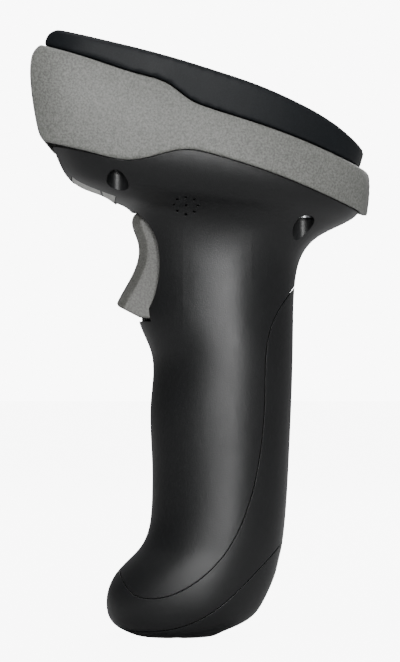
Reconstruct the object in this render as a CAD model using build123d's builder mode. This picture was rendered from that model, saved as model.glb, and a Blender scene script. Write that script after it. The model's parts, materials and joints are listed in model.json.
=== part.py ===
# Handheld barcode scanner: pistol grip, sprung trigger, two-tone head with a flat scan window.
# Frame: +Z up, the scan window faces -Y, X runs across the scanner and X = 0 is its mid plane.
# The origin is the centre of the flat under the grip's bounding box. Units are millimetres.
import os
from math import cos, pi, radians, sin

from build123d import *

os.makedirs("parts", exist_ok=True)

# ---------------------------------------------------------------- driving dimensions
WALL = 2.2                 # moulded wall of every outer shell
PART_LINE = 0.2            # gap along every part line between two shells
OUTLINE_POINTS = 20        # points on each closed section of a lofted skin

TRIGGER_PIN = (-12.6, 118.2)     # hinge axis of the trigger, (y, z)
TRIGGER_HALF_WIDTH = 10.4
TRIGGER_CHAMFER = 2.4
TRIGGER_GAP = 0.4                # side gap between the trigger and its slot
PIN_RADIUS = 1.25
PIN_RUNNING_GAP = 0.05

SCREW_BORE_RADIUS = 3.0          # access bores under the head
SCREW_HEAD_RADIUS = 2.5
SCREW_SHANK_RADIUS = 1.3
FRONT_SCREW = (27.0, -22.5)      # (x, y)
REAR_SCREW = (13.0, 28.7)
FRONT_SEAT = 133.0               # height of each screw head's seat
REAR_SEAT = 119.0

# Stations of the lower body, from the foot to inside the head. Each one is a closed section on
# a plane that runs from a front point to a rear point: (front y, z), (rear y, z), half width,
# squareness of the front, squareness of the rear, taper towards the rear, lift of the cavity.
BODY_STATIONS = [
    ((-16.5, 0.0), (3.5, 0.0), 10.0, 2.4, 2.2, 0.0, 2.2),
    ((-20.2, 1.0), (6.2, 1.0), 12.6, 2.4, 2.2, 0.0, 2.2),
    ((-23.6, 2.8), (10.4, 2.8), 14.6, 2.4, 2.2, 0.0, 2.2),
    ((-25.8, 5.6), (15.0, 5.6), 16.0, 2.4, 2.2, 0.0, 1.6),
    ((-26.4, 9.6), (17.9, 9.6), 16.8, 2.4, 2.2, 0.0, 0.8),
    ((-25.6, 13.8), (19.9, 13.8), 17.0, 2.4, 2.2, 0.0, 0.0),
    ((-23.4, 17.8), (21.4, 17.8), 16.9, 2.4, 2.2, 0.0, 0.0),
    ((-20.2, 21.2), (22.2, 21.2), 16.7, 2.4, 2.2, 0.0, 0.0),
    ((-17.0, 24.6), (23.0, 24.6), 16.5, 2.3, 2.2, 0.0, 0.0),
    ((-14.9, 28.6), (23.6, 28.6), 16.4, 2.3, 2.2, 0.0, 0.0),
    ((-13.7, 36.0), (24.3, 36.0), 16.3, 2.3, 2.2, 0.0, 0.0),
    ((-13.6, 50.0), (25.1, 50.0), 16.3, 2.3, 2.2, 0.0, 0.0),
    ((-13.9, 66.0), (25.8, 66.0), 16.4, 2.3, 2.2, 0.0, 0.0),
    ((-13.9, 80.0), (26.2, 80.0), 16.5, 2.3, 2.2, 0.0, 0.0),
    ((-17.1, 88.0), (26.3, 88.0), 16.6, 2.4, 2.2, 0.0, 0.0),
    ((-17.8, 97.0), (26.6, 97.0), 16.8, 2.5, 2.2, 0.0, 0.0),
    ((-17.8, 105.0), (27.8, 104.6), 17.1, 2.7, 2.2, 0.02, 0.0),
    ((-17.7, 112.5), (30.4, 109.6), 17.6, 3.0, 2.2, 0.05, 0.6),
    ((-19.6, 119.4), (34.2, 112.8), 18.8, 3.4, 2.2, 0.10, 1.5),
    ((-26.0, 122.8), (38.6, 115.0), 20.8, 3.8, 2.2, 0.14, 1.7),
    ((-32.4, 125.6), (41.8, 116.6), 23.2, 4.0, 2.3, 0.18, 1.7),
    ((-36.6, 128.2), (43.8, 118.0), 25.6, 4.0, 2.4, 0.20, 1.5),
    ((-38.8, 131.6), (44.9, 119.6), 27.6, 4.0, 2.5, 0.20, 1.0),
    ((-40.4, 135.4), (45.5, 121.6), 29.1, 4.0, 2.6, 0.20, 0.4),
    ((-41.6, 139.4), (45.8, 124.0), 30.0, 4.0, 2.6, 0.20, 0.0),
    ((-42.2, 144.0), (45.8, 127.0), 30.2, 4.0, 2.6, 0.20, 0.0),
]

# Stations of the grey band that wraps the head, and the one outline of the black cover above
# it. Both run on past the head's front, where FRONT_EDGE and COVER_FRONT cut them off square.
BAND_STATIONS = [
    ((-49.0, 134.4), (46.2, 115.0), 29.8, 4.6, 2.6, 0.20, 0.0),
    ((-51.0, 140.6), (47.2, 119.4), 30.7, 4.6, 2.6, 0.20, 0.0),
    ((-52.4, 147.4), (47.8, 124.2), 31.3, 4.6, 2.6, 0.20, 0.0),
    ((-53.6, 156.0), (47.6, 129.4), 31.6, 4.6, 2.6, 0.20, 0.0),
    ((-53.4, 162.4), (46.4, 133.6), 31.3, 4.6, 2.6, 0.20, 0.0),
    ((-52.2, 168.2), (44.8, 137.6), 30.6, 4.6, 2.6, 0.20, 0.0),
    ((-50.6, 174.0), (43.4, 141.6), 29.6, 4.6, 2.6, 0.20, 0.0),
]
COVER_OUTLINE = ((-48.6, 159.0), (44.9, 131.5), 30.6, 4.6, 2.6, 0.20, 0.0)
COVER_DEPTH = 32.0         # each way from the outline's plane

# Part lines and edges seen from the side, as (y, z) points from front to rear or top to foot.
BAND_LOWER_EDGE = [(-60, 141.2), (-41.0, 137.0), (-29.2, 134.2), (-19.5, 132.3), (-11.7, 133.6),
                   (-3.9, 135.2), (3.9, 133.9), (20.2, 128.9), (43.6, 119.5), (60, 112.9)]
BAND_UPPER_EDGE = [(-60, 168.0), (-42.2, 163.3), (-29.2, 159.5), (-16.0, 155.4), (-9.4, 153.4),
                   (-6.1, 151.2), (-2.8, 148.7), (1.0, 147.0), (10.3, 144.1), (30.0, 137.4),
                   (43.4, 131.7), (60, 124.2)]
FRONT_EDGE = [(-39.8, 135.0), (-42.2, 137.0), (-43.5, 138.6), (-44.3, 140.9), (-45.2, 145.5),
              (-46.2, 153.7), (-46.2, 158.4), (-45.4, 161.6), (-43.6, 163.5), (-40.6, 164.9)]
REAR_COVER_LINE = [(31.0, 104.0), (25.9, 97.2), (20.6, 89.0), (18.4, 80.0), (18.0, 68.0),
                   (16.6, 51.0), (13.0, 36.0), (6.5, 23.5), (-2.9, 15.0), (-12.2, 11.6),
                   (-18.4, 12.6), (-22.0, 17.2), (-24.0, 24.0)]
BASE_CAP_LINE = [(31.0, 36.5), (22.8, 26.2), (13.9, 16.9), (4.6, 8.6), (-4.0, 4.0),
                 (-12.2, 2.3), (-20.0, 2.0), (-32.0, 2.0)]
TRIGGER_SCOOP = [(-18.2, 119.2), (-14.1, 115.0), (-12.4, 112.0), (-11.4, 108.1), (-11.2, 104.6),
                 (-11.5, 100.3), (-12.3, 96.5), (-13.4, 93.5), (-15.0, 90.8), (-17.4, 88.0)]
COVER_FRONT = -42.4        # where the cover starts, behind the band's front edge
COVER_ROOF = [(-21.2, 163.8), (-6.6, 160.1), (5.8, 156.4), (16.4, 152.9), (25.1, 149.3),
              (32.2, 145.9), (38.5, 142.1), (47.5, 134.8)]
COVER_ROOF_SLOPE = -0.235  # of the flat lead from the front to the first roof point
COVER_NOSE_RADIUS = 3.6    # rounds the roof over into the front
BAND_CAVITY_FRONT = -42.2  # inside face of the band's front wall, which frames the window
WINDOW_CENTRE = 151.4
WINDOW_OPENING = (54.0, 17.0)
REAR_GROOVES = 3
REAR_GROOVE_TOP = 127.6
REAR_GROOVE_PITCH = 1.9
FAR = 70.0

TRIGGER_SLOT = [(-40, 88.4), (-40, 118.9), (-17.4, 118.9), (-15.4, 121.7), (-9.4, 121.7), (-4, 116),
                (-4, 88.4)]
PIN_HALF_LENGTH = 13.6

CHASSIS_LEVEL = 133.4            # underside of the head chassis
CHASSIS_POSTS = [(-14.0, -30.0), (14.0, -30.0), (-16.0, 17.0), (16.0, 17.0)]

BEEPER_CENTRE = (21.8, -3.9, 120.3)
BEEPER_TILT = 38.0
BEEPER_RING_RADIUS = 3.3
BEEPER_RING_COUNT = 8
BEEPER_HOLE_RADIUS = 0.4

LABEL_CENTRE = (-29.7, 124.7)    # rating label wrapped on the underside of the head
LABEL_NORMAL = (0, -sin(radians(24.0)), -cos(radians(24.0)))
LABEL_WIDTH = 37.0
LABEL_LENGTH = 13.0
LABEL_RECESS = 0.4
LABEL_FILM = 0.25

LIGHT_Y = 22.0                   # status light in the roof
LIGHT_LENGTH = 14.0
LIGHT_WIDTH = 3.0
LIGHT_FOOT = 144.6
FRONT_BOSS_TOP = 162.6
REAR_BOSS_TOP = 145.6

WINDOW_FACE = -42.0              # front of the scan window
WINDOW_THICKNESS = 1.5

GUIDE_HALF = 1.2                 # rib in the slot's floor that runs in a groove of the trigger

SWITCH_LEVEL = 106.0             # the switch under the trigger's rib
SWITCH_FACE = -2.0
BOARD_FACE = 2.0
RIB_TIP = -3.6
PLUNGER_RADIUS = 1.5

SPRING_LEVEL = 98.0
SPRING_START = -13.0
SPRING_LENGTH = 14.6
SPRING_PITCH = 2.1
SPRING_RADIUS = 2.2
SPRING_WIRE = 0.28

FOOT_CENTRE = -6.6               # oval opening in the foot of the grip
FOOT_OPENING = (10.4, 12.2)
CHASSIS_PLATE = 1.8
BOARD_LEVEL = 137.6              # underside of the main board
BOARD_THICKNESS = 1.2
BOARD_STANDOFFS = [(-16.0, -8.0), (16.0, -8.0), (-17.0, 21.0), (17.0, 21.0)]

ENGINE_HALF = 17.0               # scan engine behind the window
ENGINE_FRONT = -38.5
ENGINE_REAR = -18.0
ENGINE_FOOT = 140.8
ENGINE_HEIGHT = 18.0
LENS_RADIUS = 4.2
LAMP_X = 11.5
LAMP_RADIUS = 1.9

BEEPER_DEPTH = 7.4
BATTERY_Y = 5.6
BATTERY_FOOT = 20.0
CHARGE_LEVEL = 8.2
SOCKET_Y = -6.5                  # centre of the charging socket in the foot
BASE_SCREW_X = 8.6
BASE_SEAT = 1.3
BASE_BOSS_TOP = 7.6


# ---------------------------------------------------------------- shared shapes
def section_plane(front, rear, lift):
    """Plane through a front and a rear point of the mid plane, raised along its own normal."""
    run = Vector(0, rear[0] - front[0], rear[1] - front[1])
    middle = Vector(0, (front[0] + rear[0]) / 2, (front[1] + rear[1]) / 2)
    level = Plane(origin=middle, x_dir=run, z_dir=Vector(-1, 0, 0).cross(run) * -1)
    return level.offset(lift)


def outline(station, inset):
    """Closed section: a superellipse, squarer at the front and tapering to the rear."""
    front, rear, half_width, front_power, rear_power, taper, lift = station
    length = Vector(0, rear[0] - front[0], rear[1] - front[1]).length
    half_length = length / 2 - inset
    half_width = half_width - inset
    points = []
    for step in range(OUTLINE_POINTS):
        turn = 2 * pi * step / OUTLINE_POINTS
        along = cos(turn)
        across = sin(turn)
        power = 2 / (front_power if along < 0 else rear_power)
        u = half_length * abs(along) ** power * (1 if along > 0 else -1)
        v = half_width * abs(across) ** power * (1 if across > 0 else -1)
        points.append((u, v * (1 - taper * u / half_length)))
    return points


def skin(stations, inset=0.0):
    """Solid lofted through the stations, inset all round, its cavity lifted off the floor."""
    with BuildPart() as body:
        for station in stations:
            lift = station[6] * inset / WALL
            with BuildSketch(section_plane(station[0], station[1], lift)):
                with BuildLine():
                    Spline(*outline(station, inset), periodic=True)
                make_face()
        loft()
    return body.part


def prism(station, depth, inset=0.0):
    """Straight-sided solid whose section is one station's outline, inset all round."""
    with BuildPart() as body:
        with BuildSketch(section_plane(station[0], station[1], 0.0)):
            with BuildLine():
                Spline(*outline(station, inset), periodic=True)
            make_face()
        extrude(amount=depth, both=True)
    return body.part


def shifted(points, distance):
    """The same line moved sideways, to the left of its direction."""
    moved = []
    for index, point in enumerate(points):
        before = points[max(index - 1, 0)]
        after = points[min(index + 1, len(points) - 1)]
        run = Vector(after[0] - before[0], after[1] - before[1]).normalized()
        moved.append((point[0] - run.Y * distance, point[1] + run.X * distance))
    return moved


def lowered(points, drop):
    """The same line moved straight down."""
    return [(y, z - drop) for y, z in points]


def side_block(edge, *corners):
    """Solid across the whole width whose side view is a smooth edge closed by straight lines."""
    with BuildPart() as block:
        with BuildSketch(Plane.YZ.offset(-FAR)):
            with BuildLine():
                Spline(*edge)
                Polyline(edge[-1], *corners, edge[0])
            make_face()
        extrude(amount=2 * FAR)
    return block.part


def top_block(inset):
    """Everything under the cover's roof line and behind its front, less an inset."""
    front = COVER_FRONT + inset
    line = lowered(COVER_ROOF, inset)
    brow = (front, line[0][1] + COVER_ROOF_SLOPE * (front - line[0][0]))
    with BuildPart() as block:
        with BuildSketch(Plane.YZ.offset(-FAR)):
            with BuildLine():
                Line(brow, line[0])
                Spline(*line, tangents=[(1, COVER_ROOF_SLOPE), (1, -0.9)])
                Polyline(line[-1], (line[-1][0], 100), (front, 100), brow)
            make_face()
            fillet(vertices().sort_by_distance(brow)[0], radius=COVER_NOSE_RADIUS - inset)
        extrude(amount=2 * FAR)
    return block.part


def column(x, y, low, high, radius):
    """Upright cylinder between two heights."""
    with BuildPart() as post:
        with BuildSketch(Plane.XY.offset(low)):
            with Locations((x, y)):
                Circle(radius)
        extrude(amount=high - low)
    return post.part


def block_between(low, high):
    """Box between two opposite corners."""
    size = [b - a for a, b in zip(low, high)]
    middle = tuple((a + b) / 2 for a, b in zip(low, high))
    with BuildPart() as block:
        with Locations(middle):
            Box(*size)
    return block.part


def rod(start, direction, length, radius, bore=0.0):
    """Round bar from a point along a direction, with an optional bore."""
    with BuildPart() as bar:
        with BuildSketch(Plane(origin=start, z_dir=direction)):
            Circle(radius)
            if bore:
                Circle(bore, mode=Mode.SUBTRACT)
        extrude(amount=length)
    return bar.part


def side_plate(points, half_width):
    """Solid of a given half width whose side view is a closed polygon."""
    with BuildPart() as plate:
        with BuildSketch(Plane.YZ):
            with BuildLine():
                Polyline(*points, close=True)
            make_face()
        extrude(amount=half_width, both=True)
    return plate.part


def write(part, name):
    """Label one finished piece and write it as its own file."""
    part.label = name
    export_step(part, f"parts/{name}.step")


SIDES = (-1, 1)
SCREW_SEATS = [(side * FRONT_SCREW[0], FRONT_SCREW[1], FRONT_SEAT) for side in SIDES]
SCREW_SEATS += [(side * REAR_SCREW[0], REAR_SCREW[1], REAR_SEAT) for side in SIDES]
BEEPER_NORMAL = Vector(cos(radians(BEEPER_TILT)), 0, -sin(radians(BEEPER_TILT)))
BEEPER_FACE = Vector(*BEEPER_CENTRE)

body_outer = skin(BODY_STATIONS)
body_inner = skin(BODY_STATIONS, WALL)
HEAD_STATIONS = BODY_STATIONS[-9:]
label_floor = skin(HEAD_STATIONS, LABEL_RECESS)
above_rear_line = side_block(
    shifted(REAR_COVER_LINE, -PART_LINE / 2), (-FAR, 24.0), (-FAR, 180), (FAR, 180), (FAR, 104)
)
below_rear_line = side_block(
    shifted(REAR_COVER_LINE, PART_LINE / 2), (-FAR, 24.0), (-FAR, -10), (FAR, -10), (FAR, 104)
)

# ---------------------------------------------------------------- lower housing
# Cheeks and floor of the trigger's slot, solid out to the skin.
with BuildPart() as trigger_mount:
    add(block_between((-25, -26, 85.6), (25, -9.4, 122.4)))
    add(block_between((-25, -26, 85.6), (25, -4.7, 116.0)))
    add(body_outer, mode=Mode.INTERSECT)


def label_wrap(margin, floor):
    """Thin curved sheet over the label's place, from a floor surface out past the skin."""
    with BuildPart() as sheet:
        with Locations(Plane(origin=(0, *LABEL_CENTRE), x_dir=(1, 0, 0), z_dir=LABEL_NORMAL)):
            Box(LABEL_WIDTH + 2 * margin, LABEL_LENGTH + 2 * margin, 12.0)
        add(floor, mode=Mode.SUBTRACT)
    return sheet.part


# Screw columns and the posts that carry the head chassis.
with BuildPart() as housing_posts:
    for x, y, seat in SCREW_SEATS:
        add(column(x, y, 100, seat + 2.0, 4.2))
    for x, y in CHASSIS_POSTS:
        add(column(x, y, 100, CHASSIS_LEVEL, 2.8))
    add(body_outer, mode=Mode.INTERSECT)

with BuildPart() as lower_housing:
    add(body_outer)
    add(body_inner, mode=Mode.SUBTRACT)
    add(
        side_block(lowered(BAND_LOWER_EDGE, PART_LINE), (60, -10), (-60, -10)),
        mode=Mode.INTERSECT,
    )
    add(trigger_mount.part)
    add(housing_posts.part)
    add(above_rear_line, mode=Mode.INTERSECT)
    # concave front edge of the slot, then the slot itself
    add(side_block(TRIGGER_SCOOP, (-40, 88.0), (-40, 119.2)), mode=Mode.SUBTRACT)
    add(side_plate(TRIGGER_SLOT, TRIGGER_HALF_WIDTH + TRIGGER_GAP), mode=Mode.SUBTRACT)
    add(rod((-PIN_HALF_LENGTH, *TRIGGER_PIN), (1, 0, 0), 2 * PIN_HALF_LENGTH, PIN_RADIUS + 0.01),
        mode=Mode.SUBTRACT)
    for x, y, seat in SCREW_SEATS:
        add(column(x, y, 90, seat, SCREW_BORE_RADIUS), mode=Mode.SUBTRACT)
        add(column(x, y, seat - 1, seat + 4, SCREW_SHANK_RADIUS + 0.2), mode=Mode.SUBTRACT)
    for x, y in CHASSIS_POSTS:
        add(column(x, y, CHASSIS_LEVEL - 7, CHASSIS_LEVEL + 1, 1.1), mode=Mode.SUBTRACT)
    # beeper holes: a ring and one in the middle, square to the skin
    with Locations(Plane(origin=BEEPER_FACE, z_dir=BEEPER_NORMAL)):
        with PolarLocations(BEEPER_RING_RADIUS, BEEPER_RING_COUNT):
            Cylinder(BEEPER_HOLE_RADIUS, 9, mode=Mode.SUBTRACT)
        Cylinder(BEEPER_HOLE_RADIUS, 9, mode=Mode.SUBTRACT)
    # shallow recess of the rating label, and the rib that guides the foot of the trigger
    add(label_wrap(0.3, label_floor), mode=Mode.SUBTRACT)
    add(block_between((-GUIDE_HALF, -16.4, 86.4), (GUIDE_HALF, -8.0, 89.7)))
write(lower_housing.part, "lower_housing")

# ---------------------------------------------------------------- rear grip cover and base cap
# Blocks on the cover's side walls that take the base cap's two screws.
with BuildPart() as base_bosses:
    add(block_between((-20, SOCKET_Y - 2.4, 4.4), (20, SOCKET_Y + 2.4, BASE_BOSS_TOP)))
    add(block_between((-6, SOCKET_Y - 3, 4), (6, SOCKET_Y + 3, 9)), mode=Mode.SUBTRACT)
    for side in SIDES:
        add(column(side * BASE_SCREW_X, SOCKET_Y, 4, 9, 1.3), mode=Mode.SUBTRACT)
    add(body_outer, mode=Mode.INTERSECT)

with BuildPart() as rear_grip_cover:
    add(body_outer)
    add(body_inner, mode=Mode.SUBTRACT)
    add(below_rear_line, mode=Mode.INTERSECT)
    add(
        side_block(shifted(BASE_CAP_LINE, -PART_LINE / 2), (-FAR, 180), (FAR, 180), (FAR, 36.5)),
        mode=Mode.INTERSECT,
    )
    # open at the foot, where the base cap closes it
    with BuildSketch(Plane.XY.offset(-2)):
        with Locations((0, FOOT_CENTRE)):
            Ellipse(FOOT_OPENING[0], FOOT_OPENING[1])
    extrude(amount=9, mode=Mode.SUBTRACT)
    add(base_bosses.part)
write(rear_grip_cover.part, "rear_grip_cover")

with BuildPart() as base_cap:
    add(body_outer)
    add(body_inner, mode=Mode.SUBTRACT)
    add(
        side_block(shifted(BASE_CAP_LINE, PART_LINE / 2), (-FAR, -10), (FAR, -10), (FAR, 36.5)),
        mode=Mode.INTERSECT,
    )
    # oblong opening round the charging socket, and the two screw holes beside it
    with BuildSketch(Plane.XY.offset(-1)):
        with Locations((0, SOCKET_Y)):
            RectangleRounded(11.0, 5.4, 2.6)
    extrude(amount=5, mode=Mode.SUBTRACT)
    for side in SIDES:
        add(column(side * BASE_SCREW_X, SOCKET_Y, -1, 8, 1.5), mode=Mode.SUBTRACT)
        add(column(side * BASE_SCREW_X, SOCKET_Y, -2, BASE_SEAT, 2.4), mode=Mode.SUBTRACT)
write(base_cap.part, "base_cap")

# ---------------------------------------------------------------- grey band round the head
# The cavity stops short of the front, which stays as the frame round the scan window.
with BuildPart() as head_cavity:
    add(skin(BAND_STATIONS, WALL))
    add(block_between((-FAR, BAND_CAVITY_FRONT, 90), (FAR, FAR, 190)), mode=Mode.INTERSECT)

with BuildPart() as bumper_band:
    add(skin(BAND_STATIONS))
    add(side_block(FRONT_EDGE, (FAR, 173), (FAR, 90), (-45, 90)), mode=Mode.INTERSECT)
    add(head_cavity.part, mode=Mode.SUBTRACT)
    add(
        side_block(BAND_LOWER_EDGE, (60, 175), (-60, 175)),
        mode=Mode.INTERSECT,
    )
    add(side_block(BAND_UPPER_EDGE, (60, 100), (-60, 100)), mode=Mode.INTERSECT)
    # opening of the scan window, and the grip ribs moulded across the rear
    with BuildSketch(Plane.XZ.offset(30)):
        with Locations((0, WINDOW_CENTRE)):
            RectangleRounded(WINDOW_OPENING[0], WINDOW_OPENING[1], 3.5)
    extrude(amount=40, mode=Mode.SUBTRACT)
    for groove in range(REAR_GROOVES):
        level = REAR_GROOVE_TOP - groove * REAR_GROOVE_PITCH
        with Locations(Plane(origin=(0, 48.4, level), x_dir=(1, 0, 0), z_dir=(0, -0.3, 1))):
            Box(60, 3.0, 0.7, mode=Mode.SUBTRACT)
write(bumper_band.part, "bumper_band")

# ---------------------------------------------------------------- upper cover
with BuildPart() as cover_cavity:
    add(prism(COVER_OUTLINE, COVER_DEPTH, WALL))
    add(top_block(WALL), mode=Mode.INTERSECT)

with BuildPart() as upper_cover:
    add(prism(COVER_OUTLINE, COVER_DEPTH))
    add(top_block(0.0), mode=Mode.INTERSECT)
    add(cover_cavity.part, mode=Mode.SUBTRACT)
    add(
        side_block(lowered(BAND_UPPER_EDGE, -PART_LINE), (60, 200), (-60, 200)),
        mode=Mode.INTERSECT,
    )
    # screw bosses down to the lower housing's columns
    for x, y, seat in SCREW_SEATS:
        roof = FRONT_BOSS_TOP if y < 0 else REAR_BOSS_TOP
        add(rod((x, y, seat + 2.1), (0, 0, 1), roof - seat - 2.1, 3.2))
        add(rod((x, y, seat + 1), (0, 0, 1), 9, SCREW_SHANK_RADIUS + 0.05), mode=Mode.SUBTRACT)
    # window of the status light
    with BuildSketch(Plane.XY.offset(120)):
        with Locations((0, LIGHT_Y)):
            SlotOverall(LIGHT_LENGTH + 0.3, LIGHT_WIDTH + 0.3)
    extrude(amount=60, mode=Mode.SUBTRACT)
write(upper_cover.part, "upper_cover")

with BuildPart() as status_light:
    with BuildSketch(Plane.XY.offset(LIGHT_FOOT)):
        with Locations((0, LIGHT_Y)):
            SlotOverall(LIGHT_LENGTH, LIGHT_WIDTH)
    extrude(amount=30)
    add(top_block(0.1), mode=Mode.INTERSECT)
write(status_light.part, "status_light")

# ---------------------------------------------------------------- scan window
with BuildPart() as scan_window:
    with BuildSketch(Plane.XZ.offset(-WINDOW_FACE)):
        with Locations((0, WINDOW_CENTRE)):
            RectangleRounded(WINDOW_OPENING[0] + 3.0, WINDOW_OPENING[1] + 3.0, 4.5)
    extrude(amount=-WINDOW_THICKNESS)
write(scan_window.part, "scan_window")

with BuildPart() as window_seal:
    with BuildSketch(Plane.XZ.offset(-(WINDOW_FACE + WINDOW_THICKNESS))):
        with Locations((0, WINDOW_CENTRE)):
            RectangleRounded(WINDOW_OPENING[0] + 3.0, WINDOW_OPENING[1] + 3.0, 4.5)
            RectangleRounded(WINDOW_OPENING[0] - 2.0, WINDOW_OPENING[1] - 1.0, 3.0, mode=Mode.SUBTRACT)
    extrude(amount=-1.2)
write(window_seal.part, "window_seal")

# ---------------------------------------------------------------- rating label under the head
with BuildPart() as rating_label:
    add(label_wrap(0.0, skin(HEAD_STATIONS, LABEL_RECESS - 0.01)))
    add(skin(HEAD_STATIONS, LABEL_RECESS - LABEL_FILM), mode=Mode.INTERSECT)
write(rating_label.part, "rating_label")

# ---------------------------------------------------------------- trigger, pin, spring, switch
with BuildPart() as trigger:
    with BuildSketch(Plane.YZ.offset(-TRIGGER_HALF_WIDTH)):
        with BuildLine():
            face = Spline((-18.2, 118.4), (-19.0, 116.8), (-17.4, 110.3), (-17.5, 105.3),
                          (-19.6, 100.2), (-22.2, 95.6), (-23.3, 93.4))
            Polyline(face @ 1, (-22.8, 92.5), (-16.8, 89.4), (-11.0, 89.2), (-8.0, 92.0),
                     (-7.4, 106.0), (-9.6, 114.0), (-10.4, 117.0), (-14.0, 119.6), face @ 0)
        make_face()
        with Locations(TRIGGER_PIN):
            Circle(2.8)
    extrude(amount=2 * TRIGGER_HALF_WIDTH)
    # scooped corners down both sides of the finger face
    finger_face = trigger.faces().filter_by(lambda f: f.center().Y < -17 and f.center().Z > 100)
    chamfer(finger_face.edges().filter_by(lambda e: abs(e.center().X) > 9), length=TRIGGER_CHAMFER)
    # hollow back that the spring and the switch rib stand in
    add(block_between((-8.0, -13.4, 92.2), (8.0, 0.0, 113.4)), mode=Mode.SUBTRACT)
    # rounded-nose rib that presses the switch
    add(block_between((-2.6, -14.0, SWITCH_LEVEL - 1.0), (2.6, RIB_TIP - 1.0, SWITCH_LEVEL + 1.0)))
    add(rod((-2.6, RIB_TIP - 1.0, SWITCH_LEVEL), (1, 0, 0), 5.2, 1.0))
    # spring post, and the groove that runs over the housing's guide rib
    add(rod((0, -14.0, SPRING_LEVEL), (0, 1, 0), 3.4, 1.2))
    add(block_between((-GUIDE_HALF - 0.4, -20.2, 86), (GUIDE_HALF + 0.4, -6, 91.0)), mode=Mode.SUBTRACT)
    add(rod((-20, *TRIGGER_PIN), (1, 0, 0), 40, PIN_RADIUS + PIN_RUNNING_GAP), mode=Mode.SUBTRACT)
write(trigger.part, "trigger")

with BuildPart() as trigger_pin:
    add(rod((-PIN_HALF_LENGTH + 0.1, *TRIGGER_PIN), (1, 0, 0), 2 * PIN_HALF_LENGTH - 0.2, PIN_RADIUS))
    chamfer(trigger_pin.edges().filter_by(GeomType.CIRCLE), length=0.25)
write(trigger_pin.part, "trigger_pin")

with BuildPart() as trigger_spring:
    with BuildLine():
        coil = Helix(SPRING_PITCH, SPRING_LENGTH, SPRING_RADIUS,
                     center=(0, SPRING_START, SPRING_LEVEL), direction=(0, 1, 0))
    with BuildSketch(Plane(origin=coil @ 0, z_dir=coil % 0)):
        Circle(SPRING_WIRE)
    sweep(path=coil)
write(trigger_spring.part, "trigger_spring")

with BuildPart() as trigger_switch:
    add(block_between((-3, SWITCH_FACE, SWITCH_LEVEL - 3), (3, BOARD_FACE - 0.02, SWITCH_LEVEL + 3)))
    bore = PLUNGER_RADIUS + 0.06
    add(rod((0, SWITCH_FACE - 1, SWITCH_LEVEL), (0, 1, 0), 3.9, bore), mode=Mode.SUBTRACT)
write(trigger_switch.part, "trigger_switch")

with BuildPart() as switch_plunger:
    add(rod((0, RIB_TIP + 0.05, SWITCH_LEVEL), (0, 1, 0), SWITCH_FACE + 1.4 - RIB_TIP, PLUNGER_RADIUS))
    fillet(switch_plunger.edges().filter_by(GeomType.CIRCLE).sort_by(Axis.Y)[0], radius=0.3)
write(switch_plunger.part, "switch_plunger")

with BuildPart() as trigger_board:
    add(block_between((-8.5, BOARD_FACE, 91.5), (8.5, BOARD_FACE + 1.2, 113.0)))
    for side in SIDES:
        add(rod((side * 6.4, BOARD_FACE - 1, 93.6), (0, 1, 0), 4, 1.2), mode=Mode.SUBTRACT)
write(trigger_board.part, "trigger_board")

with BuildPart() as switch_bracket:
    add(block_between((-12.0, BOARD_FACE + 1.22, 90.0), (12.0, BOARD_FACE + 3.2, 114.0)))
    for side in SIDES:
        near = min(side * 12.0, side * 10.2)
        add(block_between((near, -4.6, 90.0), (near + 1.8, BOARD_FACE + 1.5, 98.0)))
        add(rod((side * 6.4, BOARD_FACE, 93.6), (0, 1, 0), 5, 0.85), mode=Mode.SUBTRACT)
write(switch_bracket.part, "switch_bracket")


def pan_screw(tip, direction, length, shank, head, height):
    """Cross-recess pan-head screw; direction points from the head to the tip."""
    axis = Vector(*direction)
    under_head = Vector(*tip) - axis * length
    with BuildPart() as screw:
        add(rod(under_head, axis, length, shank))
        add(rod(under_head - axis * height, axis, height, head))
        with Locations(Plane(origin=under_head - axis * height, z_dir=axis)):
            Box(head * 1.1, head * 0.28, height, mode=Mode.SUBTRACT)
            Box(head * 0.28, head * 1.1, height, mode=Mode.SUBTRACT)
    return screw.part


with BuildPart() as bracket_screws:
    for side in SIDES:
        add(pan_screw((side * 6.4, BOARD_FACE + 3.0, 93.6), (0, 1, 0), 3.0, 0.8, 1.5, 0.9))
write(bracket_screws.part, "bracket_screws")

with BuildPart() as base_screws:
    for side in SIDES:
        tip = (side * BASE_SCREW_X, SOCKET_Y, BASE_SEAT + 5.6)
        add(pan_screw(tip, (0, 0, 1), 5.6, 1.25, 2.1, 1.1))
write(base_screws.part, "base_screws")

with BuildPart() as housing_screws:
    for x, y, seat in SCREW_SEATS:
        add(pan_screw((x, y, seat + 8.0), (0, 0, 1), 8.0, SCREW_SHANK_RADIUS, SCREW_HEAD_RADIUS, 1.8))
write(housing_screws.part, "housing_screws")


# ---------------------------------------------------------------- head chassis and scan engine
with BuildPart() as head_chassis:
    with BuildSketch(Plane.XY.offset(CHASSIS_LEVEL + 0.1)):
        with Locations((0, -4.5)):
            RectangleRounded(39.0, 58.0, 4.0)
        with Locations((0, 8.0)):
            RectangleRounded(18.0, 12.0, 2.0, mode=Mode.SUBTRACT)
    extrude(amount=CHASSIS_PLATE)
    for x, y in CHASSIS_POSTS:
        add(column(x, y, CHASSIS_LEVEL, CHASSIS_LEVEL + 3, 1.4), mode=Mode.SUBTRACT)
    # standoffs of the main board, and the cradle walls either side of the engine
    for x, y in BOARD_STANDOFFS:
        add(rod((x, y, CHASSIS_LEVEL + 1.9), (0, 0, 1), BOARD_LEVEL - CHASSIS_LEVEL - 1.9, 2.2))
        add(column(x, y, CHASSIS_LEVEL + 0.2, BOARD_LEVEL + 1, 0.85), mode=Mode.SUBTRACT)
    for side in SIDES:
        near, far = sorted((side * (ENGINE_HALF + 0.2), side * (ENGINE_HALF + 2.0)))
        add(block_between((near, -32.0, CHASSIS_LEVEL + 1.5), (far, -18.0, ENGINE_FOOT + 9.0)))
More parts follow.
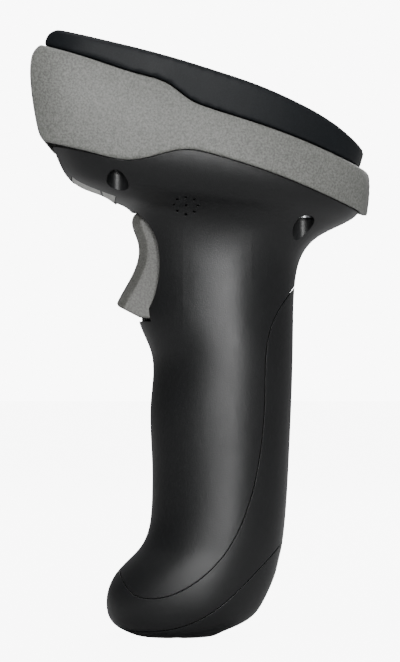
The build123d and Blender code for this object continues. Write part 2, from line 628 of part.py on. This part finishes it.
write(head_chassis.part, "head_chassis")

with BuildPart() as chassis_screws:
    for x, y in CHASSIS_POSTS:
        head_seat = CHASSIS_LEVEL + 0.12 + CHASSIS_PLATE
        add(pan_screw((x, y, head_seat - 6.0), (0, 0, -1), 6.0, 1.05, 1.9, 1.2))
write(chassis_screws.part, "chassis_screws")

engine_top = ENGINE_FOOT + ENGINE_HEIGHT
engine_middle = ENGINE_FOOT + ENGINE_HEIGHT / 2
with BuildPart() as engine_housing:
    add(block_between((-ENGINE_HALF, ENGINE_FRONT, ENGINE_FOOT), (ENGINE_HALF, ENGINE_REAR, engine_top)))
    add(
        block_between(
            (-ENGINE_HALF + 1.4, ENGINE_FRONT + 1.4, ENGINE_FOOT + 1.4),
            (ENGINE_HALF - 1.4, ENGINE_REAR + 1, engine_top - 1.4),
        ),
        mode=Mode.SUBTRACT,
    )
    add(rod((0, ENGINE_FRONT - 1, engine_middle), (0, 1, 0), 4, LENS_RADIUS + 1.2), mode=Mode.SUBTRACT)
    for side in SIDES:
        add(
            rod((side * LAMP_X, ENGINE_FRONT - 1, engine_middle), (0, 1, 0), 4, LAMP_RADIUS + 0.3),
            mode=Mode.SUBTRACT,
        )
write(engine_housing.part, "engine_housing")

with BuildPart() as lens_barrel:
    add(rod((0, ENGINE_FRONT - 0.4, engine_middle), (0, 1, 0), 12.4, LENS_RADIUS + 1.1, LENS_RADIUS))
    add(rod((0, ENGINE_FRONT + 6.0, engine_middle), (0, 1, 0), 0.8, LENS_RADIUS + 0.2, 1.2))
write(lens_barrel.part, "lens_barrel")

with BuildPart() as receiving_lens:
    with BuildSketch(Plane.YZ):
        with BuildLine():
            ThreePointArc((ENGINE_FRONT + 2.2, LENS_RADIUS - 0.05), (ENGINE_FRONT + 0.8, 0.0),
                          (ENGINE_FRONT + 2.2, -LENS_RADIUS + 0.05))
            Polyline((ENGINE_FRONT + 2.2, -LENS_RADIUS + 0.05), (ENGINE_FRONT + 4.4, -LENS_RADIUS + 0.05),
                     (ENGINE_FRONT + 4.4, LENS_RADIUS - 0.05), (ENGINE_FRONT + 2.2, LENS_RADIUS - 0.05))
        make_face()
        with Locations((ENGINE_FRONT, -LENS_RADIUS)):
            Rectangle(20, 2 * LENS_RADIUS, mode=Mode.SUBTRACT)
    revolve(axis=Axis.Y)
write(Pos(0, 0, engine_middle) * receiving_lens.part, "receiving_lens")

with BuildPart() as aiming_lamps:
    for side in SIDES:
        start = Vector(side * LAMP_X, ENGINE_FRONT - 0.5, engine_middle)
        add(rod(start + Vector(0, 1.5, 0), (0, 1, 0), 6.0, LAMP_RADIUS))
        with Locations(start + Vector(0, 1.5, 0)):
            Sphere(LAMP_RADIUS)
write(aiming_lamps.part, "aiming_lamps")

with BuildPart() as engine_board:
    add(
        block_between(
            (-ENGINE_HALF + 0.2, ENGINE_REAR + 0.05, ENGINE_FOOT + 0.2),
            (ENGINE_HALF - 0.2, ENGINE_REAR + 1.25, engine_top - 0.2),
        )
    )
write(engine_board.part, "engine_board")

with BuildPart() as image_sensor:
    add(block_between((-4.0, ENGINE_REAR - 1.0, engine_middle - 3.2),
                      (4.0, ENGINE_REAR + 0.03, engine_middle + 3.2)))
write(image_sensor.part, "image_sensor")

# ---------------------------------------------------------------- main board and its parts
with BuildPart() as main_board:
    with BuildSketch(Plane.XY.offset(BOARD_LEVEL + 0.02)):
        with Locations((0, 6.0)):
            RectangleRounded(40.0, 35.0, 1.5)
        with Locations(*BOARD_STANDOFFS):
            Circle(1.1, mode=Mode.SUBTRACT)
    extrude(amount=BOARD_THICKNESS)
write(main_board.part, "main_board")

board_top = BOARD_LEVEL + 0.04 + BOARD_THICKNESS
with BuildPart() as board_screws:
    for x, y in BOARD_STANDOFFS:
        add(pan_screw((x, y, board_top - 4.5), (0, 0, -1), 4.5, 0.8, 1.6, 1.0))
write(board_screws.part, "board_screws")

with BuildPart() as decoder_chip:
    add(block_between((-11.0, -6.0, board_top), (-1.0, 4.0, board_top + 0.9)))
write(decoder_chip.part, "decoder_chip")

with BuildPart() as memory_chip:
    add(block_between((-11.0, 7.0, board_top), (-4.0, 12.0, board_top + 0.8)))
write(memory_chip.part, "memory_chip")

with BuildPart() as radio_module:
    add(block_between((2.0, 8.0, board_top), (12.0, 22.0, board_top + 0.7)))
    add(block_between((2.6, 8.6, board_top + 0.7), (11.4, 17.0, board_top + 2.0)))
write(radio_module.part, "radio_module")

with BuildPart() as board_connectors:
    for x, y in ((8.0, -8.6), (-7.0, 20.4)):
        add(block_between((x - 4.0, y - 1.8, board_top), (x + 4.0, y + 1.8, board_top + 2.4)))
        add(block_between((x - 3.2, y - 2.0, board_top + 0.6), (x + 3.2, y + 0.8, board_top + 1.9)),
            mode=Mode.SUBTRACT)
write(board_connectors.part, "board_connectors")

with BuildPart() as status_lamp:
    add(block_between((-1.6, LIGHT_Y - 0.8, board_top), (1.6, LIGHT_Y + 0.8, board_top + 0.9)))
write(status_lamp.part, "status_lamp")

# ---------------------------------------------------------------- beeper behind the neck's holes
beeper_back = BEEPER_FACE - BEEPER_NORMAL * BEEPER_DEPTH
with BuildPart() as beeper:
    add(rod(beeper_back, BEEPER_NORMAL * -1, 3.4, 4.5))
    add(rod(beeper_back - BEEPER_NORMAL * 3.4, BEEPER_NORMAL * -1, 0.4, 3.2))
    add(rod(beeper_back + BEEPER_NORMAL * 0.5, BEEPER_NORMAL * -1, 1.5, 1.0), mode=Mode.SUBTRACT)
write(beeper.part, "beeper")

with BuildPart() as beeper_seal:
    add(rod(beeper_back + BEEPER_NORMAL * 0.9, BEEPER_NORMAL * -1, 0.85, 4.6, 3.7))
write(beeper_seal.part, "beeper_seal")

# ---------------------------------------------------------------- battery in the grip
with BuildPart() as battery_cell:
    add(column(0, BATTERY_Y, BATTERY_FOOT, BATTERY_FOOT + 64.0, 9.1))
    fillet(battery_cell.edges().filter_by(GeomType.CIRCLE), radius=0.8)
    add(column(0, BATTERY_Y, BATTERY_FOOT + 63.9, BATTERY_FOOT + 65.0, 3.0))
write(battery_cell.part, "battery_cell")

with BuildPart() as battery_holder:
    add(column(0, BATTERY_Y, BATTERY_FOOT - 3.0, BATTERY_FOOT + 68.0, 10.8))
    add(column(0, BATTERY_Y, BATTERY_FOOT - 1.4, BATTERY_FOOT + 66.4, 9.3), mode=Mode.SUBTRACT)
    add(block_between((-7.0, BATTERY_Y - 20, BATTERY_FOOT), (7.0, BATTERY_Y - 4, BATTERY_FOOT + 64.0)),
        mode=Mode.SUBTRACT)
write(battery_holder.part, "battery_holder")

with BuildPart() as battery_contacts:
    add(column(0, BATTERY_Y, BATTERY_FOOT - 1.3, BATTERY_FOOT - 0.1, 4.0))
    add(column(0, BATTERY_Y, BATTERY_FOOT + 65.1, BATTERY_FOOT + 66.3, 3.5))
write(battery_contacts.part, "battery_contacts")

# ---------------------------------------------------------------- charging board and socket
with BuildPart() as charge_board:
    add(block_between((-8.2, SOCKET_Y - 8.5, CHARGE_LEVEL), (8.2, SOCKET_Y + 8.5, CHARGE_LEVEL + 1.2)))
    for side in SIDES:
        add(rod((side * 6.6, SOCKET_Y, CHARGE_LEVEL - 1), (0, 0, 1), 4, 1.1), mode=Mode.SUBTRACT)
write(charge_board.part, "charge_board")

with BuildPart() as charge_socket:
    with BuildSketch(Plane.XY.offset(0.9)):
        with Locations((0, SOCKET_Y)):
            RectangleRounded(8.9, 3.2, 1.5)
            RectangleRounded(8.3, 2.6, 1.2, mode=Mode.SUBTRACT)
    extrude(amount=CHARGE_LEVEL - 0.92)
    with BuildSketch(Plane.XY.offset(CHARGE_LEVEL - 1.2)):
        with Locations((0, SOCKET_Y)):
            RectangleRounded(8.8, 3.1, 1.4)
    extrude(amount=1.18)
    add(block_between((-3.4, SOCKET_Y - 0.35, 1.6), (3.4, SOCKET_Y + 0.35, CHARGE_LEVEL - 1.0)))
write(charge_socket.part, "charge_socket")
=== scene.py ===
# %% [markdown]
# A pistol-grip barcode scanner. Its shells, trigger and inner pieces come from a fixed model.
# This lesson loads that model, gives each surface its finish, and makes the visible shells again
# with the small rounded edges that a mould leaves.

# %% Load the model
import bpy
import json
from math import radians
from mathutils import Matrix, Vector


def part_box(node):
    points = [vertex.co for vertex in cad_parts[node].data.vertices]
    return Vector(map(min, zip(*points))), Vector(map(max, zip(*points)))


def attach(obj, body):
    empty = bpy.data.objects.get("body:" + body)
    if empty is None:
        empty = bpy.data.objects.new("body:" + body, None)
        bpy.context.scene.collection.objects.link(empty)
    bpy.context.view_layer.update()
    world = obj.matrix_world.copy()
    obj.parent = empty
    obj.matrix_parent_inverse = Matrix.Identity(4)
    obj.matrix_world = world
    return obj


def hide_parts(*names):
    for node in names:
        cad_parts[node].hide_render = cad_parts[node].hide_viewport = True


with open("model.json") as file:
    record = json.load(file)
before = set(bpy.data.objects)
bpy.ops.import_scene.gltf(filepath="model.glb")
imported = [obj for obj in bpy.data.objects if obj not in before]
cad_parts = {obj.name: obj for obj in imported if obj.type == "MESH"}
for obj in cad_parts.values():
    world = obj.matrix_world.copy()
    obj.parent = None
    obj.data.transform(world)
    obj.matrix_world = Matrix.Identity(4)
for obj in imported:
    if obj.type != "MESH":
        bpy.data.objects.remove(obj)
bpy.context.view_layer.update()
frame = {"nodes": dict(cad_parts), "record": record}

MM = 0.001

# %% [markdown]
# Colours are written the way a painter reads them, as hex. Blender mixes light, so one function
# turns a hex colour into linear light. A second one adds a shader node with its settings and
# links in one line, which keeps every material below short.

# %% Colour and node helpers
def linear(hex_colour):
    channels = [int(hex_colour[i:i + 2], 16) / 255 for i in (1, 3, 5)]
    return [c / 12.92 if c <= 0.04045 else ((c + 0.055) / 1.055) ** 2.4 for c in channels] + [1.0]


def add_node(tree, kind, inputs=None, **settings):
    made = tree.nodes.new(kind)
    for name, value in settings.items():
        setattr(made, name, value)
    for name, value in (inputs or {}).items():
        socket = made.inputs[name]
        if isinstance(value, bpy.types.NodeSocket):
            tree.links.new(value, socket)
        else:
            socket.default_value = value
    return made


def new_material(name, **constants):
    material = bpy.data.materials.new(name)
    material.use_nodes = True
    shader = material.node_tree.nodes["Principled BSDF"]
    for socket, value in constants.items():
        shader.inputs[socket.replace("_", " ")].default_value = value
    return material, material.node_tree, shader


def ramp_of(tree, factor, low, high, start=0.0, end=1.0):
    ramp = add_node(tree, "ShaderNodeValToRGB", {"Fac": factor})
    ramp.color_ramp.elements[0].position = start
    ramp.color_ramp.elements[0].color = low
    ramp.color_ramp.elements[1].position = end
    ramp.color_ramp.elements[1].color = high
    return ramp.outputs["Color"]


print("middle grey in linear light", [round(c, 3) for c in linear("#808080")])

# %% [markdown]
# The studio is a pale floor, a white surround and four soft lights. The camera stands level
# with the middle of the scanner, square to its side, nine tenths of a metre away.

# %% Camera
CAMERA_DISTANCE = 0.90
VIEW_HEIGHT = 0.1866      # what the frame takes in, top to bottom, at the scanner
SENSOR_HEIGHT = 24.0
view_centre = Vector((0.0, 0.0, 0.0857))
bpy.ops.object.select_all(action="DESELECT")
bpy.ops.object.camera_add(location=view_centre + Vector((CAMERA_DISTANCE, 0, 0)),
                          rotation=(radians(90), 0, radians(90)))
camera = bpy.context.object
camera.data.sensor_fit = "VERTICAL"
camera.data.sensor_height = SENSOR_HEIGHT
camera.data.lens = SENSOR_HEIGHT * CAMERA_DISTANCE / VIEW_HEIGHT
camera.data.clip_start = 0.01
bpy.context.scene.camera = camera
print("camera lens", round(camera.data.lens, 1), "mm, from", list(camera.location))

# %% [markdown]
# Overhead light is broad. A short upright strip draws the long highlight down the grip, and a
# wide shallow strip does the same along the band. The fill keeps the far side readable. The
# surround is white to the camera only; as light it is dim, and dimmer from below and in front.

# %% Lights and surround
def soft_light(name, place, aim, width, height, power):
    bpy.ops.object.light_add(type="AREA", location=place)
    lamp = bpy.context.object
    lamp.name = name
    lamp.data.shape = "RECTANGLE"
    lamp.data.size = width
    lamp.data.size_y = height
    lamp.data.energy = power
    lamp.rotation_euler = (Vector(aim) - Vector(place)).to_track_quat("-Z", "Y").to_euler()
    print(name, power, "W")


soft_light("overhead_softbox", (0.35, -0.05, 0.95), (0, 0, 0.12), 0.7, 0.5, 5.0)
soft_light("side_strip", (0.90, 0.17, 0.115), (0, 0.0, 0.09), 0.09, 0.21, 1.8)
soft_light("band_strip", (0.85, 0.04, 0.23), (0, 0.0, 0.15), 0.30, 0.05, 2.9)
soft_light("rear_fill", (-0.6, 0.25, 0.55), (0, 0, 0.10), 0.6, 0.6, 5.0)

world = bpy.data.worlds.new("white_surround")
bpy.context.scene.world = world
world.use_nodes = True
tree = world.node_tree
tree.nodes.clear()
seen = add_node(tree, "ShaderNodeBackground", {"Color": (1, 1, 1, 1), "Strength": 9.0})
heading = add_node(tree, "ShaderNodeTexCoord").outputs["Generated"]
facing = add_node(tree, "ShaderNodeVectorMath", {0: heading, 1: (0.1, 0.6, 0.78)},
                  operation="DOT_PRODUCT")
ambient = add_node(tree, "ShaderNodeMapRange",
                   {"Value": facing.outputs["Value"], "From Min": -1.0, "From Max": 1.0,
                    "To Min": 0.08, "To Max": 0.36})
lit = add_node(tree, "ShaderNodeBackground", {"Color": (0.97, 0.98, 1, 1),
                                              "Strength": ambient.outputs["Result"]})
path = add_node(tree, "ShaderNodeLightPath")
both = add_node(tree, "ShaderNodeMixShader", {0: path.outputs["Is Camera Ray"]})
tree.links.new(lit.outputs[0], both.inputs[1])
tree.links.new(seen.outputs[0], both.inputs[2])
add_node(tree, "ShaderNodeOutputWorld", {"Surface": both.outputs[0]})

bpy.ops.object.select_all(action="DESELECT")
bpy.ops.mesh.primitive_plane_add(size=6.0, location=(0, 0, 0))
floor = bpy.context.object
floor.name = "studio_floor"
floor_paint, tree, shader = new_material("pale_floor", Roughness=0.9)
shader.inputs["Base Color"].default_value = linear("#b4b4b4")
glow = add_node(tree, "ShaderNodeEmission", {"Color": (1, 1, 1, 1), "Strength": 8.0})
lift = add_node(tree, "ShaderNodeAddShader", {0: shader.outputs[0], 1: glow.outputs[0]})
first_hit = add_node(tree, "ShaderNodeLightPath").outputs["Is Camera Ray"]
seen_floor = add_node(tree, "ShaderNodeMixShader", {0: first_hit})
tree.links.new(shader.outputs[0], seen_floor.inputs[1])
tree.links.new(lift.outputs[0], seen_floor.inputs[2])
tree.links.new(seen_floor.outputs[0], tree.nodes["Material Output"].inputs["Surface"])
floor.data.materials.append(floor_paint)

# %% [markdown]
# The shells are injection-moulded ABS. A spark-eroded mould leaves a fine, even grain, which
# breaks the highlight up and makes it broad. The grain here is noise 0.35 to 0.55 mm across,
# which is as coarse as it must be to show, over a much larger cloud that varies the gloss the
# way handling does. A bevel node softens the shading where two faces of a moulding meet.

# %% Moulded plastics
CLOUD_MM = 22
GRAIN_HEIGHT_MM = 0.05
EDGE_RADIUS_MM = 0.35


def moulded_plastic(name, colour, grain_mm, grain_depth, roughness, wear, speckle=0.35):
    material, tree, shader = new_material(name, IOR=1.5)
    place = add_node(tree, "ShaderNodeTexCoord").outputs["Object"]
    grain = add_node(tree, "ShaderNodeTexNoise",
                     {"Vector": place, "Scale": 1 / (grain_mm * MM), "Detail": 3.0,
                      "Roughness": 0.6})
    cloud = add_node(tree, "ShaderNodeTexNoise",
                     {"Vector": place, "Scale": 1 / (CLOUD_MM * MM), "Detail": 4.0,
                      "Roughness": 0.55})
    base = linear(colour)
    darker = [c * (1 - wear) for c in base[:3]] + [1.0]
    lighter = [min(1.0, c * (1 + wear)) for c in base[:3]] + [1.0]
    tone = ramp_of(tree, cloud.outputs["Fac"], darker, lighter, 0.3, 0.7)
    speck = add_node(tree, "ShaderNodeMix", {"Factor": speckle, "A": tone}, data_type="RGBA",
                     blend_type="SOFT_LIGHT")
    dark_speck = (0.25, 0.25, 0.25, 1)
    light_speck = (0.75, 0.75, 0.75, 1)
    specks = ramp_of(tree, grain.outputs["Fac"], dark_speck, light_speck, 0.35, 0.65)
    tree.links.new(specks, speck.inputs["B"])
    tree.links.new(speck.outputs["Result"], shader.inputs["Base Color"])
    gloss = add_node(tree, "ShaderNodeMapRange",
                     {"Value": cloud.outputs["Fac"], "From Min": 0.3, "From Max": 0.7,
                      "To Min": roughness - 0.04, "To Max": roughness + 0.05})
    tree.links.new(gloss.outputs["Result"], shader.inputs["Roughness"])
    edge = add_node(tree, "ShaderNodeBevel", {"Radius": EDGE_RADIUS_MM * MM}, samples=4)
    bump = add_node(tree, "ShaderNodeBump",
                    {"Height": grain.outputs["Fac"], "Strength": grain_depth,
                     "Distance": GRAIN_HEIGHT_MM * MM, "Normal": edge.outputs["Normal"]})
    tree.links.new(bump.outputs["Normal"], shader.inputs["Normal"])
    return material


# name, colour, grain in mm, depth of grain, roughness, wear
black_abs = moulded_plastic("black_abs_fine_grain", "#101112", 0.35, 0.55, 0.38, 0.10)
cover_abs = moulded_plastic("black_abs_satin_cover", "#15181b", 0.40, 0.35, 0.50, 0.08)
cover_abs.node_tree.nodes["Principled BSDF"].inputs["Specular IOR Level"].default_value = 0.22
grey_abs = moulded_plastic("grey_abs_sandblast", "#757672", 0.55, 1.0, 0.46, 0.05, speckle=0.75)
trigger_abs = moulded_plastic("warm_grey_abs_trigger", "#696965", 0.50, 0.8, 0.46, 0.05,
                              speckle=0.6)
chassis_abs = moulded_plastic("black_glass_filled_nylon", "#202124", 0.6, 0.6, 0.5, 0.08)
switch_resin = moulded_plastic("black_phenolic_resin", "#141414", 0.5, 0.3, 0.35, 0.06)
plunger_resin = moulded_plastic("red_acetal", "#9c2a1c", 0.5, 0.3, 0.35, 0.06)
connector_nylon = moulded_plastic("natural_nylon", "#d8cfb4", 0.5, 0.4, 0.4, 0.05)
seal_foam = moulded_plastic("black_pu_foam", "#101011", 0.8, 1.0, 0.9, 0.2)
cell_sleeve = moulded_plastic("blue_pvc_sleeve", "#1f4f8c", 1.2, 0.2, 0.28, 0.06)
print("shell plastics", black_abs.name, cover_abs.name, grey_abs.name, trigger_abs.name)


# %% [markdown]
# The window is cast acrylic tinted dark red, which lets the aiming light out and hides the
# engine. Acrylic bends light a little less than glass, so its IOR is 1.49. The lens is coated
# glass and the status light is a frosted acrylic pipe.

# %% Clear pieces
HAZE_MM = 4.0


def clear_piece(name, colour, ior, roughness, transmission):
    material, tree, shader = new_material(name, IOR=ior, Transmission_Weight=transmission)
    place = add_node(tree, "ShaderNodeTexCoord").outputs["Object"]
    haze = add_node(tree, "ShaderNodeTexNoise",
                    {"Vector": place, "Scale": 1 / (HAZE_MM * MM), "Detail": 5.0})
    rough = add_node(tree, "ShaderNodeMapRange",
                     {"Value": haze.outputs["Fac"], "To Min": roughness,
                      "To Max": roughness + 0.05})
    tree.links.new(rough.outputs["Result"], shader.inputs["Roughness"])
    base = linear(colour)
    darker = [c * 0.92 for c in base[:3]] + [1.0]
    tone = ramp_of(tree, haze.outputs["Fac"], darker, base, 0.3, 0.7)
    tree.links.new(tone, shader.inputs["Base Color"])
    return material


# name, colour, IOR, roughness, share of light let through
window_acrylic = clear_piece("dark_red_acrylic", "#5a1418", 1.49, 0.02, 0.55)
lens_glass = clear_piece("coated_lens_glass", "#cfd8ee", 1.52, 0.01, 0.9)
light_pipe = clear_piece("frosted_acrylic_pipe", "#dfe3e4", 1.49, 0.22, 0.45)
lamp_epoxy = clear_piece("clear_epoxy_lamp", "#e8d9c8", 1.55, 0.06, 0.6)
print("clear pieces", window_acrylic.name, lens_glass.name, light_pipe.name, lamp_epoxy.name)


# %% [markdown]
# Metals keep the default IOR and get their look from brushing or plating: stretched noise for
# drawn steel wire and pins, a faint mottle for zinc plate and die-cast alloy.

# %% Metals
def metal(name, colour, roughness, stretch, grain_mm):
    material, tree, shader = new_material(name, Metallic=1.0)
    place = add_node(tree, "ShaderNodeTexCoord").outputs["Object"]
    drawn = add_node(tree, "ShaderNodeMapping", {"Vector": place, "Scale": stretch})
    grain = add_node(tree, "ShaderNodeTexNoise",
                     {"Vector": drawn.outputs["Vector"], "Scale": 1 / (grain_mm * MM),
                      "Detail": 4.0})
    base = linear(colour)
    darker = [c * 0.85 for c in base[:3]] + [1.0]
    tone = ramp_of(tree, grain.outputs["Fac"], darker, base, 0.3, 0.7)
    tree.links.new(tone, shader.inputs["Base Color"])
    rough = add_node(tree, "ShaderNodeMapRange",
                     {"Value": grain.outputs["Fac"], "To Min": roughness,
                      "To Max": roughness + 0.12})
    tree.links.new(rough.outputs["Result"], shader.inputs["Roughness"])
    bump = add_node(tree, "ShaderNodeBump", {"Height": grain.outputs["Fac"], "Strength": 0.2,
                                             "Distance": 0.02 * MM})
    tree.links.new(bump.outputs["Normal"], shader.inputs["Normal"])
    return material


# name, colour, roughness, stretch of the grain, grain in mm
bright_steel = metal("drawn_steel", "#c9c9c6", 0.18, (0.1, 1, 1), 0.3)
zinc_plate = metal("zinc_plated_steel", "#c4c6c8", 0.22, (1, 1, 1), 0.6)
cast_alloy = metal("die_cast_zinc_alloy", "#8d8f92", 0.38, (1, 1, 1), 0.8)
print("metals", bright_steel.name, zinc_plate.name, cast_alloy.name)


# %% [markdown]
# The circuit boards are glass-fibre laminate under green solder mask. The rating label is
# silver polyester film, left blank, with a thin dark rule that splits it into two fields.
# The rule is every place within a small distance of one station along the label.

# %% Boards and label
board_mask, tree, shader = new_material("green_solder_mask", Roughness=0.32, IOR=1.5)
place = add_node(tree, "ShaderNodeTexCoord").outputs["Object"]
weave = add_node(tree, "ShaderNodeTexWave",
                 {"Vector": place, "Scale": 1 / (1.6 * MM), "Distortion": 1.0})
tree.links.new(ramp_of(tree, weave.outputs["Fac"], linear("#0c3a20"), linear("#125230")),
               shader.inputs["Base Color"])

RULE_PLACE = 0.66         # of the way along the label
RULE_HALF_WIDTH_MM = 0.3

label_film, tree, shader = new_material("silver_polyester_film", Roughness=0.5, Metallic=0.0)
place = add_node(tree, "ShaderNodeTexCoord").outputs["Object"]
fleck = add_node(tree, "ShaderNodeTexNoise",
                 {"Vector": place, "Scale": 1 / (0.7 * MM), "Detail": 3.0})
film = ramp_of(tree, fleck.outputs["Fac"], linear("#bdbdb9"), linear("#dcdcd8"), 0.35, 0.65)
label_low, label_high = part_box("rating_label")
rule_y = label_low[1] + RULE_PLACE * (label_high[1] - label_low[1])
along = add_node(tree, "ShaderNodeSeparateXYZ", {0: place}).outputs["Y"]
off_rule = add_node(tree, "ShaderNodeMath", {0: along, 1: rule_y}, operation="SUBTRACT")
distance = add_node(tree, "ShaderNodeMath", {0: off_rule.outputs[0]}, operation="ABSOLUTE")
rule = add_node(tree, "ShaderNodeMath", {0: distance.outputs[0], 1: RULE_HALF_WIDTH_MM * MM},
                operation="LESS_THAN")
ruled = add_node(tree, "ShaderNodeMix", {"Factor": rule.outputs[0]}, data_type="RGBA")
ruled.inputs["B"].default_value = linear("#2c2c2c")
tree.links.new(film, ruled.inputs["A"])
tree.links.new(ruled.outputs["Result"], shader.inputs["Base Color"])
print("label rule at y =", round(rule_y, 4), "m")

# %% [markdown]
# Each piece of the model says which kind of surface it has. One table turns that kind into a
# finish. The cover alone is a satin black, a little duller than the rest of the black shells.

# %% Assign a finish to every node
FINISHES = {
    "black_plastic": black_abs, "grey_plastic": grey_abs, "trigger_plastic": trigger_abs,
    "inner_plastic": chassis_abs, "window_acrylic": window_acrylic, "foam_rubber": seal_foam,
    "light_pipe": light_pipe, "silver_label": label_film, "bright_steel": bright_steel,
    "zinc_screw": zinc_plate, "dark_resin": switch_resin, "plunger_resin": plunger_resin,
    "connector_resin": connector_nylon, "circuit_board": board_mask, "engine_alloy": cast_alloy,
    "lens_glass": lens_glass, "lamp_epoxy": lamp_epoxy, "sensor_ceramic": switch_resin,
    "cell_wrap": cell_sleeve,
}
for subpart in frame["record"]["subparts"]:
    solid = frame["nodes"][subpart["node"]]
    solid.data.materials.clear()
    solid.data.materials.append(FINISHES[subpart["material_slot"]])
frame["nodes"]["upper_cover"].data.materials[0] = cover_abs


# %% [markdown]
# A real moulding has no sharp edge: the tool is polished until each one has a small radius.
# The cover, band and trigger are made again from their solids. A copy is merged, voxel
# remeshed so that its faces are even and small, and smoothed, which rolls every edge over.

# %% Rolled-edge mouldings
def rolled_moulding(node, voxel_mm, passes, body, finish):
    source = frame["nodes"][node]
    piece = source.copy()
    piece.data = source.data.copy()
    piece.name = node + "_moulding"
    bpy.context.scene.collection.objects.link(piece)
    for key in [k for k in piece.keys() if k.startswith("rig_")]:
        del piece[key]
    bpy.ops.object.select_all(action="DESELECT")
    piece.select_set(True)
    bpy.context.view_layer.objects.active = piece
    bpy.ops.object.mode_set(mode="EDIT")
    bpy.ops.mesh.select_all(action="SELECT")
    bpy.ops.mesh.remove_doubles(threshold=0.002 * MM)
    bpy.ops.object.mode_set(mode="OBJECT")
    remesh = piece.modifiers.new("even_faces", "REMESH")
    remesh.mode = "VOXEL"
    remesh.voxel_size = voxel_mm * MM
    bpy.ops.object.modifier_apply(modifier=remesh.name)
    relax = piece.modifiers.new("rolled_edges", "SMOOTH")
    relax.factor = 0.5
    relax.iterations = passes
    bpy.ops.object.modifier_apply(modifier=relax.name)
    bpy.ops.object.shade_smooth()
    piece.data.materials.clear()
    piece.data.materials.append(finish)
    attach(piece, body)
    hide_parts(node)
    print(piece.name, len(piece.data.polygons), "faces")


rolled_moulding("upper_cover", 0.55, 12, "root", cover_abs)
rolled_moulding("bumper_band", 0.42, 5, "root", grey_abs)
rolled_moulding("trigger", 0.28, 4, "trigger", trigger_abs)
